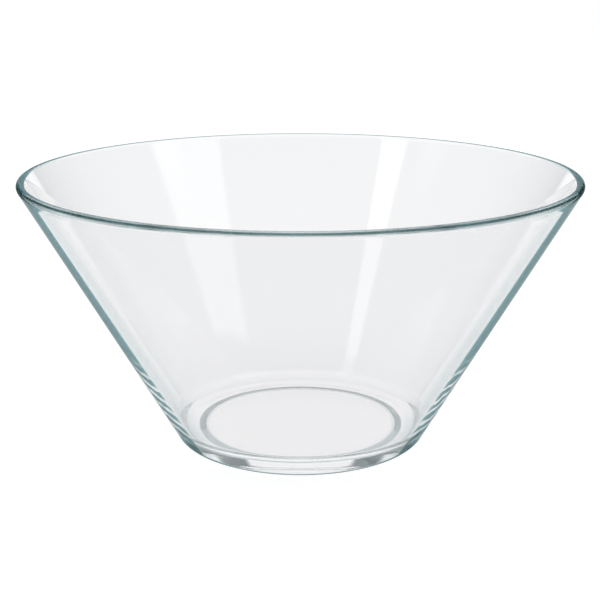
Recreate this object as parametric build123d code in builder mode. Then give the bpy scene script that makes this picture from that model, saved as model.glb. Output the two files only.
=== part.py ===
from build123d import *
import os
from math import asin, atan2, cos, degrees, hypot, sin, sqrt, tan

# A conical glass serving bowl, pressed in one piece: a straight flared wall with a
# fire-polished rim, a thick flat floor, a rounded heel and a slightly hollow underside
# that leaves a ring to stand on. Millimetres, +Z up, the table at z = 0 and the bowl's
# axis on the Z axis.

# Overall size
rim_diameter = 280.0
bowl_height = 138.1

# Outer wall: its straight line would meet the table on this circle
wall_foot_diameter = 125.8
heel_radius = 7.1

# Wall, measured square to it
wall_at_rim = 4.2
wall_at_floor = 4.8

# Floor, and the curve that joins it to the wall inside
floor_thickness = 9.3
floor_fillet = 10.0

# Underside: a shallow hollow inside the ring that the bowl stands on
standing_ring_width = 4.9
hollow_depth = 2.2
hollow_slope_width = 4.6
hollow_fillet = 6.0
ring_fillet = 2.0


def touching_line(start, centre, radius, side):
    """Angle of the line from start that touches a circle, and the point where it touches.

    The circle lies on the line's left for side 1 and on its right for side -1.
    """
    reach = hypot(centre[0] - start[0], centre[1] - start[1])
    angle = atan2(centre[1] - start[1], centre[0] - start[0]) - side * asin(radius / reach)
    length = sqrt(reach**2 - radius**2)
    return angle, (start[0] + length * cos(angle), start[1] + length * sin(angle))


# The rim is a half round as wide as the wall there
rim_radius = wall_at_rim / 2
rim_centre = (rim_diameter / 2 - rim_radius, bowl_height - rim_radius)

# Outer wall line, from the table to the rim's half round
foot = (wall_foot_diameter / 2, 0)
outer_angle, outer_touch = touching_line(foot, rim_centre, rim_radius, 1)

# Inner wall line, through the point that is one wall thickness inside the outer line at
# the floor's level, up to the rim and down to the floor
level = floor_thickness / sin(outer_angle)
beside_floor = (
    foot[0] + level * cos(outer_angle) - wall_at_floor * sin(outer_angle),
    floor_thickness + wall_at_floor * cos(outer_angle),
)
inner_angle, inner_touch = touching_line(beside_floor, rim_centre, rim_radius, -1)
drop = (beside_floor[1] - floor_thickness) / sin(inner_angle)
floor_corner = (beside_floor[0] - drop * cos(inner_angle), floor_thickness)

# The hollow starts where the standing ring ends, one ring's width inside the heel
heel_end = foot[0] - heel_radius * tan(outer_angle / 2)
hollow_edge = heel_end - standing_ring_width

# The bowl: one section, turned about the axis
with BuildPart() as bowl:
    with BuildSketch(Plane.XZ):
        with BuildLine():
            FilletPolyline(
                (0, hollow_depth),
                (hollow_edge - hollow_slope_width, hollow_depth),
                (hollow_edge, 0),
                foot,
                outer_touch,
                radius=[hollow_fillet, ring_fillet, heel_radius],
            )
            rim = JernArc(
                start=outer_touch,
                tangent=(cos(outer_angle), sin(outer_angle)),
                radius=rim_radius,
                arc_size=180 + degrees(inner_angle - outer_angle),
            )
            inside = FilletPolyline(
                rim @ 1,
                floor_corner,
                (0, floor_thickness),
                radius=floor_fillet,
            )
            Line(inside @ 1, (0, hollow_depth))
        make_face()
    revolve(axis=Axis.Z)

bowl.part.label = "bowl"

os.makedirs("parts", exist_ok=True)
export_step(bowl.part, "parts/bowl.step")

box = bowl.part.bounding_box()
print("bowl", round(box.size.X, 2), round(box.size.Y, 2), round(box.size.Z, 2), "mm")
print("glass", round(bowl.part.volume), "cubic mm, wall", round(90 - degrees(outer_angle), 2), "degrees from upright")
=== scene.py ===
import math
import bpy
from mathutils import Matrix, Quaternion, Vector


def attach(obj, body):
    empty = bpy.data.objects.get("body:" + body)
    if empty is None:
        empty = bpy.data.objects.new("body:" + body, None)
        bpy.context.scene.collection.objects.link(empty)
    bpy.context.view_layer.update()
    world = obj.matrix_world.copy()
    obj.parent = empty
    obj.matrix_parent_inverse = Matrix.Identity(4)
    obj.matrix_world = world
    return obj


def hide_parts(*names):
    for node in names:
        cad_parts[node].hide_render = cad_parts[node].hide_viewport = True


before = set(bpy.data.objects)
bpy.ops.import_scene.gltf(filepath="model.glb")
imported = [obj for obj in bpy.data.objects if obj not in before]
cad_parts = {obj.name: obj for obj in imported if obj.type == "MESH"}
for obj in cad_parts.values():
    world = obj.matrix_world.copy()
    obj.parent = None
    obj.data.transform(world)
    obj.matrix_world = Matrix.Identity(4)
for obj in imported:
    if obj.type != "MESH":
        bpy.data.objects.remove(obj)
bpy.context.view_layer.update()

# The clear glass bowl: its fine surface is turned from the same section as the solid.
# Lengths of the section are in millimetres and become metres in the mesh.
MM = 0.001
WHITE = (1.0, 1.0, 1.0, 1.0)

# Section, as in the solid
RIM_DIAMETER = 280.0
BOWL_HEIGHT = 138.1
WALL_FOOT_DIAMETER = 125.8
HEEL_RADIUS = 7.1
WALL_AT_RIM = 4.2
WALL_AT_FLOOR = 4.8
FLOOR_THICKNESS = 9.3
FLOOR_FILLET = 10.0
STANDING_RING_WIDTH = 4.9
HOLLOW_DEPTH = 2.2
HOLLOW_SLOPE_WIDTH = 4.6
HOLLOW_FILLET = 6.0
RING_FILLET = 2.0

# Steps of the turned surface; one fine step past the rim ends the rim's marks there
TURN_STEPS = 256
SMALL_ARC_STEPS = 10
ARC_STEPS = 28
RIM_STEPS = 32
WALL_STEPS = 48
INNER_STEPS = 12
FINE_STEPS = 400
FLOOR_STEPS = 8

# Glass
GLASS_IOR = 1.52
BODY_TINT = (0.917, 0.915, 0.922, 1.0)
ABSORPTION = (0.13, 0.57, 0.61, 1.0)
ABSORPTION_DENSITY = 0.3

# Light runs round inside the rim and the base a long way before it leaves the glass
MOST_BOUNCES = 512

# At this blend, a Layer Weight node's Facing is one less the cosine of the sight angle
FACING_BLEND = 0.5

# Edges: painted shade darkens the wall's outside where the line of sight runs along inside the
# wall, and the rim all over just past its top; it stands in for the dark studio seen along the
# glass. A vertex keeps the cosine of the sight angle below which it is painted dark; the rim's
# are given by degrees, from level outward over the top. The painted dark ends over the edge
# shares of that cosine, and a pale painted shade over the shade shares.
PAINTED_EDGE_SHADE_TINT = (0.635, 0.73, 0.742, 1.0)
PAINTED_SHADE_COAT_IOR = 1.02
EDGE_SHARES = (0.78, 0.92)
SHADE_WEIGHT = 0.30
SHADE_SHARES = (0.95, 1.55)
RIM_EDGES = ((-30.0, 0.31), (85.0, 0.31), (92.0, 0.95), (112.0, 0.95), (120.0, 0.38), (150.0, 0.28))
NO_EDGE = 0.01

# Dashes: low on the wall the painted dark edge breaks into painted dark dashes and bright gaps,
# which drop inward; they stand in for light bent by uneven glass. Their strength goes by height.
# The rise is from one dash to the next, the slope is the wave's radians for a unit of cosine,
# the limits are of its sine, and noise of the named grain shifts it by as many waves as the
# noise value says.
PAINTED_DASHES = ((8.0, 0.0), (12.0, 1.0), (40.0, 1.0), (56.0, 0.0))
DASH_RISE = 6.5
DASH_SLOPE = 11.0
DASH_LIMITS = (0.1, 0.8)
DASH_NOISE = 1.2
DASH_GRAIN = 90.0

# Painted shade as a dark line along the rim's outside, all round the front: its strength by
# degrees, and the cosines over which it comes in
PAINTED_RIM_LINE = ((4.0, 0.0), (22.0, 0.8), (36.0, 1.0), (48.0, 0.8), (60.0, 0.0))
LINE_LIMITS = (0.12, 0.32)
PAINTED_LINE_SHADE_TINT = (0.19, 0.33, 0.34, 1.0)

# The same painted dark line round the rim's sides, lower down, where its outside is seen edge on
PAINTED_RIM_END = ((-25.0, 0.0), (-8.0, 0.6), (28.0, 0.6), (44.0, 0.0))
END_LIMITS = (0.35, 0.60)

# Painted grey shade on the slope of the hollow underneath, which shows through the floor as a thin grey
# ring
PAINTED_SLOPE_WEIGHT = 0.6

# Marks from the mesh that place the glass's painted shade, and their values where nothing else is said
PLAIN = {"edge_cosine": NO_EDGE, "painted_rim_line": 0.0, "painted_rim_end": 0.0, "painted_slope_shade": 0.0, "dashes": 0.0}

# Studio light by direction. The limits are shares of a unit step up, back or aside, and a
# white surface begins or ends over them. Between the surfaces it is dark.
DARK_COLOUR = (0.13, 0.165, 0.175, 1.0)

# White sweep behind the bowl, which is highest straight behind it and narrows as it rises
SWEEP_LEAN = 0.5
SWEEP_TOP = (0.05, 0.20)
SWEEP_HALF_WIDTH = 0.37
SWEEP_TILT = 0.28
SWEEP_SIDE = (0.0, 0.06)

# White wings, high behind the bowl at both sides of the sweep
WING_SIDE = (0.42, 0.50)
WING_BACK = (0.45, 0.60)
WING_FOOT = (0.40, 0.46)

# White wall in front, and a low one that goes on round the sides; both end towards the back
FRONT_TOP = (0.50, 0.60)
FRONT_END = (-0.6, -0.3)
LOW_TOP = (0.22, 0.32)
LOW_END = (0.2, 0.4)

# Ceiling light, and its beams, which come lower at both sides, from the middle to the back
CEILING_EDGE = (0.81, 0.86)
BEAM_EDGE = (0.62, 0.70)
BEAM_SIDE = (0.25, 0.38)
BEAM_BACK = (-0.30, -0.10)

# Studio floor: its radius in metres, and its drop in millimetres, which keeps it off the glass
FLOOR_RADIUS = 3.0
FLOOR_DROP = 0.3
FLOOR_SIDES = 96
FLOOR_COLOUR = (0.3, 0.3, 0.3, 1.0)
FLOOR_GLOW = 0.87

# Soft boxes: azimuth from the camera's side towards +X, elevation and roll in degrees, then
# distance, width and height in metres, and radiance. They face a point on the bowl's axis.
SOFT_BOXES = (
    ("soft_box_wide", 74.5, 52.5, -20.0, 0.92, 0.42, 0.58, 0.85),
    ("soft_box_narrow", -60.5, 53.5, 20.0, 0.93, 0.15, 0.61, 1.3),
)
SOFT_BOX_AIM = 0.07

# Camera, from the ellipses of the rim and of the ring in the base: distance, aim and sensor
# in millimetres, elevation in degrees, the place of the bowl's axis across the photograph in
# pixels, and the clip start in metres
CAMERA_DISTANCE = 665.0
CAMERA_ELEVATION = 15.44
CAMERA_AIM = 71.6
FOCAL_PIXELS = 1290.0
FRAME_PIXELS = 600.0
MIDDLE_PIXEL = 299.5
BOWL_PIXEL = 299.95
SENSOR = 36.0
CLIP_START = 0.01

# Places of the colour sockets of a Mix node
MIX_FIRST = 6
MIX_SECOND = 7
MIX_RESULT = 2


def touching_line(start, centre, radius, side):
    """Angle of the line from start that touches a circle, and the point where it touches.

    The circle lies on the line's left for side 1 and on its right for side -1.
    """
    reach = math.hypot(centre[0] - start[0], centre[1] - start[1])
    angle = math.atan2(centre[1] - start[1], centre[0] - start[0]) - side * math.asin(radius / reach)
    length = math.sqrt(reach**2 - radius**2)
    return angle, (start[0] + length * math.cos(angle), start[1] + length * math.sin(angle))


def corner_arc(before, corner, after, radius, steps):
    """Points of the arc that rounds a corner, from the side of before to the side of after."""
    backward = (Vector(before) - Vector(corner)).normalized()
    forward = (Vector(after) - Vector(corner)).normalized()
    half = backward.angle(forward) / 2
    centre = Vector(corner) + (backward + forward).normalized() * (radius / math.sin(half))
    first = Vector(corner) + backward * (radius / math.tan(half)) - centre
    last = Vector(corner) + forward * (radius / math.tan(half)) - centre
    begin = math.atan2(first.y, first.x)
    turn = (math.atan2(last.y, last.x) - begin + math.pi) % (2 * math.pi) - math.pi
    angles = [begin + turn * i / steps for i in range(steps + 1)]
    return [(centre.x + radius * math.cos(angle), centre.y + radius * math.sin(angle)) for angle in angles]


def between(start, end, steps):
    """Points on a straight line, without its ends."""
    return [
        (start[0] + (end[0] - start[0]) * i / steps, start[1] + (end[1] - start[1]) * i / steps)
        for i in range(1, steps)
    ]


def stepped(stops, at):
    """Value at a place between stops of place and value."""
    value = stops[0][1]
    for (low, first), (high, last) in zip(stops, stops[1:]):
        if at >= low:
            value = first + (last - first) * min((at - low) / (high - low), 1.0)
    return value


def wall_cosine(r, thickness, angle):
    """Cosine of the sight angle on the outer wall where the line of sight touches its inside."""
    inside = 1 - thickness / math.sin(angle) / r
    return math.sin(angle) * math.sqrt(1 - inside * inside)


def section():
    """The bowl's section from the underside's middle round the outside to the floor's middle.

    With each point go its marks: numbers that the glass's painted shade reads there.
    """
    rim_radius = WALL_AT_RIM / 2
    rim_centre = (RIM_DIAMETER / 2 - rim_radius, BOWL_HEIGHT - rim_radius)
    foot = (WALL_FOOT_DIAMETER / 2, 0.0)
    outer_angle, outer_touch = touching_line(foot, rim_centre, rim_radius, 1)
    level = FLOOR_THICKNESS / math.sin(outer_angle)
    beside_floor = (
        foot[0] + level * math.cos(outer_angle) - WALL_AT_FLOOR * math.sin(outer_angle),
        FLOOR_THICKNESS + WALL_AT_FLOOR * math.cos(outer_angle),
    )
    inner_angle, inner_touch = touching_line(beside_floor, rim_centre, rim_radius, -1)
    drop = (beside_floor[1] - FLOOR_THICKNESS) / math.sin(inner_angle)
    floor_corner = (beside_floor[0] - drop * math.cos(inner_angle), FLOOR_THICKNESS)
    hollow_edge = foot[0] - HEEL_RADIUS * math.tan(outer_angle / 2) - STANDING_RING_WIDTH

    # Underside: the slope's painted grey shade comes in round its upper fillet and goes out round the
    # lower one, by the square of the way round
    under = (0.0, HOLLOW_DEPTH)
    hollow_top = (hollow_edge - HOLLOW_SLOPE_WIDTH, HOLLOW_DEPTH)
    ring_corner = (hollow_edge, 0.0)
    out = [(under, {})]
    for i, point in enumerate(corner_arc(under, hollow_top, ring_corner, HOLLOW_FILLET, SMALL_ARC_STEPS)):
        out.append((point, {"painted_slope_shade": (i / SMALL_ARC_STEPS) ** 2}))
    for i, point in enumerate(corner_arc(hollow_top, ring_corner, foot, RING_FILLET, SMALL_ARC_STEPS)):
        out.append((point, {"painted_slope_shade": (1 - i / SMALL_ARC_STEPS) ** 2}))

    # Heel and outer wall, with where their painted dark edge and dashes go
    heel = corner_arc(ring_corner, foot, outer_touch, HEEL_RADIUS, ARC_STEPS)
    for r, z in heel + between(heel[-1], outer_touch, WALL_STEPS):
        thickness = WALL_AT_FLOOR + (WALL_AT_RIM - WALL_AT_FLOOR) * z / BOWL_HEIGHT
        cosine = wall_cosine(r, thickness, outer_angle)
        out.append(((r, z), {"edge_cosine": cosine, "dashes": stepped(PAINTED_DASHES, z)}))

    # Rim, with where its painted shade goes
    rim_turn = math.pi + inner_angle - outer_angle
    rim_marks = {"edge_cosine": RIM_EDGES, "painted_rim_line": PAINTED_RIM_LINE, "painted_rim_end": PAINTED_RIM_END}
    for i in range(RIM_STEPS + 1):
        angle = outer_angle - math.pi / 2 + rim_turn * i / RIM_STEPS
        point = (rim_centre[0] + rim_radius * math.cos(angle), rim_centre[1] + rim_radius * math.sin(angle))
        marks = {name: stepped(stops, math.degrees(angle)) for name, stops in rim_marks.items()}
        out.append((point, marks))

    # Inner wall and floor, which have no marks
    rim_inside = out[-1][0]
    middle = (0.0, FLOOR_THICKNESS)
    fillet = corner_arc(inner_touch, floor_corner, middle, FLOOR_FILLET, ARC_STEPS)
    inside = between(rim_inside, fillet[0], FINE_STEPS)[:1] + between(rim_inside, fillet[0], INNER_STEPS)
    inside += fillet + between(fillet[-1], middle, FLOOR_STEPS) + [middle]
    return out + [(point, {}) for point in inside]


def turned(name, section_points, steps):
    """A closed mesh from a section turned about Z; its first and last points are on the axis."""
    verts, rows, faces = [], [], []
    values = {mark: [] for mark in PLAIN}
    for (r, z), marks in section_points:
        count = 1 if r < MM else steps
        rows.append(range(len(verts), len(verts) + count))
        for here in range(count):
            angle = 2 * math.pi * here / steps
            verts.append((r * MM * math.cos(angle), r * MM * math.sin(angle), z * MM))
        for mark, plain in PLAIN.items():
            values[mark] += [marks.get(mark, plain)] * count
    for low, high in zip(rows, rows[1:]):
        for here in range(steps):
            there = (here + 1) % steps
            if len(low) == 1:
                faces.append((low[0], high[there], high[here]))
            elif len(high) == 1:
                faces.append((low[here], low[there], high[0]))
            else:
                faces.append((low[here], low[there], high[there], high[here]))
    mesh = bpy.data.meshes.new(name)
    mesh.from_pydata(verts, [], faces)
    mesh.polygons.foreach_set("use_smooth", [True] * len(mesh.polygons))
    for mark, numbers in values.items():
        mesh.attributes.new(mark, "FLOAT", "POINT").data.foreach_set("value", numbers)
    mesh.update()
    obj = bpy.data.objects.new(name, mesh)
    bpy.context.scene.collection.objects.link(obj)
    return obj


def maths(tree, operation, *values):
    """Output of a Math node that works on numbers or on other nodes' outputs."""
    node = tree.nodes.new("ShaderNodeMath")
    node.operation = operation
    for socket, value in zip(node.inputs, values):
        if isinstance(value, float):
            socket.default_value = value
        else:
            tree.links.new(value, socket)
    return node.outputs[0]


def fade(tree, value, limits, start, end):
    """Output of a soft step from start to end while the value crosses the limits."""
    node = tree.nodes.new("ShaderNodeMapRange")
    node.interpolation_type = "SMOOTHSTEP"
    node.inputs["From Min"].default_value = limits[0]
    node.inputs["From Max"].default_value = limits[1]
    node.inputs["To Min"].default_value = start
    node.inputs["To Max"].default_value = end
    tree.links.new(value, node.inputs["Value"])
    return node.outputs["Result"]


def below(tree, value, limits):
    """Output that is one below the limits and nothing beyond them."""
    return fade(tree, value, limits, 1.0, 0.0)


def beyond(tree, value, limits):
    """Output that is nothing below the limits and one beyond them."""
    return fade(tree, value, limits, 0.0, 1.0)


def mixed(tree, factor, first, second):
    """Output of a mix of two colours."""
    node = tree.nodes.new("ShaderNodeMix")
    node.data_type = "RGBA"
    node.inputs[MIX_FIRST].default_value = first
    node.inputs[MIX_SECOND].default_value = second
    tree.links.new(factor, node.inputs[0])
    return node.outputs[MIX_RESULT]


def marked(tree, mark):
    """Output of a mark of the mesh."""
    node = tree.nodes.new("ShaderNodeAttribute")
    node.attribute_name = mark
    return node.outputs["Fac"]


def dash_gaps(tree, cosine):
    """Output that falls from one to nothing in the bright gaps between the dashes."""
    place = tree.nodes.new("ShaderNodeTexCoord")
    grain = tree.nodes.new("ShaderNodeTexNoise")
    grain.inputs["Scale"].default_value = DASH_GRAIN
    tree.links.new(place.outputs["Object"], grain.inputs["Vector"])
    height = tree.nodes.new("ShaderNodeSeparateXYZ")
    tree.links.new(place.outputs["Object"], height.inputs[0])
    wave = maths(tree, "MULTIPLY", height.outputs["Z"], 2 * math.pi / (DASH_RISE * MM))
    wave = maths(tree, "MULTIPLY_ADD", cosine, DASH_SLOPE, wave)
    wave = maths(tree, "MULTIPLY_ADD", grain.outputs["Fac"], 2 * math.pi * DASH_NOISE, wave)
    bright = beyond(tree, maths(tree, "SINE", wave), DASH_LIMITS)
    return maths(tree, "SUBTRACT", 1.0, maths(tree, "MULTIPLY", bright, marked(tree, "dashes")))


def painted_shade_coat(tree, shader):
    """A tinted coat that paints shade on the edges, the rim's lines and the slope of the hollow."""
    shader.inputs["Coat IOR"].default_value = PAINTED_SHADE_COAT_IOR
    shader.inputs["Coat Roughness"].default_value = 0.0
    facing = tree.nodes.new("ShaderNodeLayerWeight")
    facing.inputs["Blend"].default_value = FACING_BLEND
    cosine = maths(tree, "SUBTRACT", 1.0, facing.outputs["Facing"])
    # Painted dark edge where the sight cosine falls below the vertex's share, broken by the dashes, and a
    # pale painted shade past it
    share = maths(tree, "DIVIDE", cosine, marked(tree, "edge_cosine"))
    edge = maths(tree, "MULTIPLY", below(tree, share, EDGE_SHARES), dash_gaps(tree, cosine))
    edge = maths(tree, "MAXIMUM", edge, fade(tree, share, SHADE_SHARES, SHADE_WEIGHT, 0.0))
    front = maths(tree, "MULTIPLY", beyond(tree, cosine, LINE_LIMITS), marked(tree, "painted_rim_line"))
    end = maths(tree, "MULTIPLY", below(tree, cosine, END_LIMITS), marked(tree, "painted_rim_end"))
    lines = maths(tree, "MAXIMUM", front, end)
    slope = marked(tree, "painted_slope_shade")
    # Colour of the painted shade: the edges' teal, or the darker grey of the lines and the slope
    tint = mixed(tree, maths(tree, "MAXIMUM", lines, slope), PAINTED_EDGE_SHADE_TINT, PAINTED_LINE_SHADE_TINT)
    tree.links.new(tint, shader.inputs["Coat Tint"])

    # The painted shade of the edges and lines is on the outside of the surface, the slope's painted grey on
    # both sides
    side = tree.nodes.new("ShaderNodeNewGeometry")
    outside = maths(tree, "SUBTRACT", maths(tree, "MAXIMUM", edge, lines), side.outputs["Backfacing"])
    weight = maths(tree, "MAXIMUM", outside, maths(tree, "MULTIPLY", slope, PAINTED_SLOPE_WEIGHT))
    tree.links.new(weight, shader.inputs["Coat Weight"])


def glass_material():
    """Clear glass whose faint blue-green shows in long paths, with painted shade where a surface turns
    away.
    """
    material = bpy.data.materials.new("clear_glass")
    material.use_nodes = True
    tree = material.node_tree
    shader = tree.nodes["Principled BSDF"]
    shader.inputs["Base Color"].default_value = BODY_TINT
    shader.inputs["Roughness"].default_value = 0.0
    shader.inputs["Transmission Weight"].default_value = 1.0
    shader.inputs["IOR"].default_value = GLASS_IOR
    painted_shade_coat(tree, shader)
    body = tree.nodes.new("ShaderNodeVolumeAbsorption")
    body.inputs["Color"].default_value = ABSORPTION
    body.inputs["Density"].default_value = ABSORPTION_DENSITY
    tree.links.new(body.outputs["Volume"], tree.nodes["Material Output"].inputs["Volume"])
    return material


def floor_material():
    """Pale floor: part of its white is its own, the rest is lit and keeps the bowl's shadow."""
    material = bpy.data.materials.new("pale_floor")
    material.use_nodes = True
    shader = material.node_tree.nodes["Principled BSDF"]
    shader.inputs["Base Color"].default_value = FLOOR_COLOUR
    shader.inputs["Roughness"].default_value = 1.0
    shader.inputs["Specular IOR Level"].default_value = 0.0
    shader.inputs["Emission Color"].default_value = WHITE
    shader.inputs["Emission Strength"].default_value = FLOOR_GLOW
    return material


def studio_floor():
    """A wide round floor under the bowl."""
    angles = [2 * math.pi * i / FLOOR_SIDES for i in range(FLOOR_SIDES)]
    height = -FLOOR_DROP * MM
    ring = [(FLOOR_RADIUS * math.cos(angle), FLOOR_RADIUS * math.sin(angle), height) for angle in angles]
    mesh = bpy.data.meshes.new("studio_floor")
    mesh.from_pydata(ring, [], [tuple(range(FLOOR_SIDES))])
    floor = bpy.data.objects.new("studio_floor", mesh)
    floor.data.materials.append(floor_material())
    bpy.context.scene.collection.objects.link(floor)


def white_share(tree, back, up, aside):
    """Output that is one in the directions where the studio is white."""
    rise = maths(tree, "MULTIPLY_ADD", back, -SWEEP_LEAN, up)
    beside = maths(tree, "MULTIPLY_ADD", back, -SWEEP_HALF_WIDTH, aside)
    beside = maths(tree, "MULTIPLY_ADD", up, SWEEP_TILT, beside)
    sweep = maths(tree, "MULTIPLY", below(tree, rise, SWEEP_TOP), below(tree, beside, SWEEP_SIDE))
    wings = maths(tree, "MULTIPLY", beyond(tree, aside, WING_SIDE), beyond(tree, back, WING_BACK))
    wings = maths(tree, "MULTIPLY", wings, beyond(tree, up, WING_FOOT))
    front = maths(tree, "MULTIPLY", below(tree, up, FRONT_TOP), below(tree, back, FRONT_END))
    low = maths(tree, "MULTIPLY", below(tree, up, LOW_TOP), below(tree, back, LOW_END))
    ceiling = beyond(tree, up, CEILING_EDGE)
    beams = maths(tree, "MULTIPLY", beyond(tree, up, BEAM_EDGE), beyond(tree, aside, BEAM_SIDE))
    beams = maths(tree, "MULTIPLY", beams, beyond(tree, back, BEAM_BACK))
    white = sweep
    for surface in (wings, front, low, ceiling, beams):
        white = maths(tree, "MAXIMUM", white, surface)
    return white


def studio_sky():
    """World light by direction; the camera sees plain white behind the bowl."""
    world = bpy.data.worlds.new("studio")
    bpy.context.scene.world = world
    world.use_nodes = True
    tree = world.node_tree
    place = tree.nodes.new("ShaderNodeTexCoord")
    parts = tree.nodes.new("ShaderNodeSeparateXYZ")
    tree.links.new(place.outputs["Generated"], parts.inputs[0])
    aside = maths(tree, "ABSOLUTE", parts.outputs["X"])
    white = white_share(tree, parts.outputs["Y"], parts.outputs["Z"], aside)
    surroundings = tree.nodes["Background"]
    tree.links.new(mixed(tree, white, DARK_COLOUR, WHITE), surroundings.inputs["Color"])
    backdrop = tree.nodes.new("ShaderNodeBackground")
    backdrop.inputs["Color"].default_value = WHITE
    path = tree.nodes.new("ShaderNodeLightPath")
    mix = tree.nodes.new("ShaderNodeMixShader")
    tree.links.new(path.outputs["Is Camera Ray"], mix.inputs[0])
    tree.links.new(surroundings.outputs[0], mix.inputs[1])
    tree.links.new(backdrop.outputs[0], mix.inputs[2])
    tree.links.new(mix.outputs[0], tree.nodes["World Output"].inputs["Surface"])


def soft_box(name, azimuth, elevation, roll, distance, width, height, radiance):
    """A rectangular lamp that faces the bowl."""
    lamp = bpy.data.lights.new(name, "AREA")
    lamp.shape = "RECTANGLE"
    lamp.size = width
    lamp.size_y = height
    lamp.energy = radiance * math.pi * width * height
    obj = bpy.data.objects.new(name, lamp)
    round_axis, rise = math.radians(azimuth), math.radians(elevation)
    away = Vector((
        math.sin(round_axis) * math.cos(rise),
        -math.cos(round_axis) * math.cos(rise),
        math.sin(rise),
    ))
    obj.location = Vector((0.0, 0.0, SOFT_BOX_AIM)) + away * distance
    turn = Quaternion((0.0, 0.0, 1.0), math.radians(roll))
    obj.rotation_euler = (away.to_track_quat("Z", "Y") @ turn).to_euler()
    bpy.context.scene.collection.objects.link(obj)


def camera():
    """The photograph's camera, in front of the bowl and a little above it."""
    data = bpy.data.cameras.new("camera")
    data.sensor_width = SENSOR
    data.lens = FOCAL_PIXELS / FRAME_PIXELS * SENSOR
    data.shift_x = (MIDDLE_PIXEL - BOWL_PIXEL) / FRAME_PIXELS
    data.clip_start = CLIP_START
    obj = bpy.data.objects.new("camera", data)
    rise = math.radians(CAMERA_ELEVATION)
    away = Vector((0.0, -math.cos(rise), math.sin(rise)))
    obj.location = Vector((0.0, 0.0, CAMERA_AIM * MM)) + away * CAMERA_DISTANCE * MM
    obj.rotation_euler = away.to_track_quat("Z", "Y").to_euler()
    bpy.context.scene.collection.objects.link(obj)
    bpy.context.scene.camera = obj


bowl = turned("glass_bowl", section(), TURN_STEPS)
bowl.data.materials.append(glass_material())
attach(bowl, "root")
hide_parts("bowl")

studio_floor()
studio_sky()
for box in SOFT_BOXES:
    soft_box(*box)
camera()

scene = bpy.context.scene
scene.cycles.max_bounces = MOST_BOUNCES
scene.cycles.glossy_bounces = MOST_BOUNCES
scene.cycles.transmission_bounces = MOST_BOUNCES
scene.view_settings.view_transform = "Standard"
